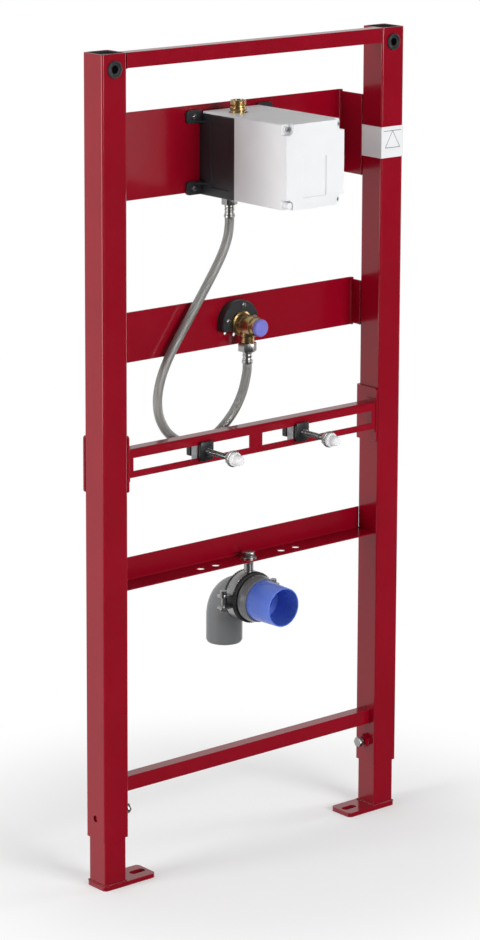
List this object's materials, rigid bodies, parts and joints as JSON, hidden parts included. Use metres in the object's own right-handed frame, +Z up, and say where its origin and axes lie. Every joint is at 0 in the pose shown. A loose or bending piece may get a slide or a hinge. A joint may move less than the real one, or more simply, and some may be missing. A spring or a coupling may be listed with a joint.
{
  "type": "urinal installation frame",
  "caption": "Steel installation frame for a wall hung urinal: square posts, slotted feet, a stud rail, a control box with corner valve and hose, and a clamped waste elbow.",
  "frame": {"origin": "On the flat outer side of the left post, on its centre line, 40 mm below the axis of its wall fixing hole and 1052 mm above the floor", "axes": "+X runs across the frame from the left post to the right post as seen from the front, +Y runs back towards the wall, +Z runs up"},
  "size_m": [0.52, 0.187, 1.112],
  "materials": {
    "frame_paint": "gloss powder coat",
    "black_plastic": "moulded, satin",
    "white_plastic": "moulded, satin",
    "cap_plastic": "moulded, satin",
    "zinc_steel": "bright zinc plate",
    "plain_steel": "zinc plated strip",
    "brass": "machined",
    "hose_braid": "braided wire sleeve",
    "rubber": "moulded, ribbed",
    "pipe_plastic": "moulded pipe, smooth",
    "plug_plastic": "thin moulding"
  },
  "bodies": {
    "frame": {"left_upright": "frame_paint", "right_upright": "frame_paint", "top_crossbar": "frame_paint", "bottom_crossbar": "frame_paint", "upper_panel": "frame_paint", "valve_panel": "frame_paint", "waste_bracket": "frame_paint", "left_post_cap": "black_plastic", "right_post_cap": "black_plastic", "left_wall_bush": "black_plastic", "right_wall_bush": "black_plastic", "left_foot_bolt": "zinc_steel", "right_foot_bolt": "zinc_steel", "box_housing": "black_plastic", "box_cover": "white_plastic", "box_screws": "zinc_steel", "water_inlet": "brass", "box_outlet": "zinc_steel", "valve_base": "black_plastic", "stop_valve": "brass", "valve_cap": "cap_plastic", "valve_outlet": "zinc_steel", "water_hose": "hose_braid", "pipe_clamp": "zinc_steel", "clamp_rubber": "rubber", "clamp_stud": "zinc_steel", "waste_elbow": "pipe_plastic", "waste_plug": "plug_plastic", "level_mark": "white_plastic"},
    "left_foot": {"left_foot": "frame_paint"},
    "right_foot": {"right_foot": "frame_paint"},
    "rail": {"stud_rail": "frame_paint", "left_rail_sleeve": "frame_paint", "right_rail_sleeve": "frame_paint"},
    "left_stud_set": {"left_stud_holder": "black_plastic", "left_stud_clamp": "plain_steel", "left_stud": "zinc_steel", "left_stud_nut": "zinc_steel", "left_stud_cap": "white_plastic"},
    "right_stud_set": {"right_stud_holder": "black_plastic", "right_stud_clamp": "plain_steel", "right_stud": "zinc_steel", "right_stud_nut": "zinc_steel", "right_stud_cap": "white_plastic"}
  },
  "joints": [
    {"name": "left_foot_slide", "type": "slide", "parent": "frame", "child": "left_foot", "axis": [0, 0, -1], "range_m": [-0.055, 0.138]},
    {"name": "right_foot_slide", "type": "slide", "parent": "frame", "child": "right_foot", "axis": [0, 0, -1], "range_m": [-0.055, 0.138]},
    {"name": "rail_slide", "type": "slide", "parent": "frame", "child": "rail", "axis": [0, 0, 1], "range_m": [-0.04, 0.04]},
    {"name": "left_stud_slide", "type": "slide", "parent": "rail", "child": "left_stud_set", "axis": [1, 0, 0], "range_m": [-0.105, 0.065]},
    {"name": "right_stud_slide", "type": "slide", "parent": "rail", "child": "right_stud_set", "axis": [1, 0, 0], "range_m": [-0.058, 0.105]}
  ]
}
